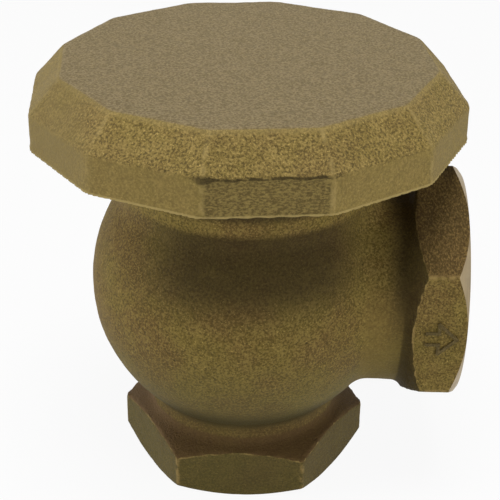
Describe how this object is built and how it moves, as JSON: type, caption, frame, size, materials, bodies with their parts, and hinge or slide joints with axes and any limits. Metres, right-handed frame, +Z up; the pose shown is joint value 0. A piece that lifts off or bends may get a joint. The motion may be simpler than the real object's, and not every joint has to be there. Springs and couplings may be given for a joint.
{
  "type": "atmospheric vacuum breaker",
  "caption": "Right-angle bronze atmospheric vacuum breaker with threaded inlet and outlet, twelve-sided air hood and a lifting float that opens the air port when flow stops.",
  "frame": {"origin": "centre of the inlet's end face, which is also the face the part stands on", "axes": "+Z up the inlet's axis to the hood, +X out of the outlet along its axis"},
  "size_m": [0.0822, 0.081, 0.0838],
  "materials": {
    "cast_bronze_body": "rough sand cast",
    "cast_bronze_hood": "rough sand cast",
    "machined_bronze": "turned",
    "stainless_steel": "turned",
    "silicone_rubber": "matte",
    "black_rubber": "matte",
    "moulded_plastic": "moulded",
    "bearing_plastic": "turned"
  },
  "bodies": {
    "body": {"valve_body": "cast_bronze_body", "inlet_seat_ring": "machined_bronze", "air_bonnet": "machined_bronze", "bonnet_o_ring": "black_rubber", "guide_post": "stainless_steel", "hood_lock_washer": "stainless_steel", "air_hood": "cast_bronze_hood"},
    "float": {"float_body": "moulded_plastic", "float_bush": "bearing_plastic", "air_seal_disc": "silicone_rubber", "air_seal_retainer": "machined_bronze", "inlet_seal_disc": "silicone_rubber", "inlet_seal_washer": "stainless_steel", "inlet_seal_screw": "stainless_steel"}
  },
  "joints": [
    {"name": "float_lift", "type": "slide", "parent": "body", "child": "float", "axis": [0, 0, 1], "range_m": [0, 0.008]}
  ]
}
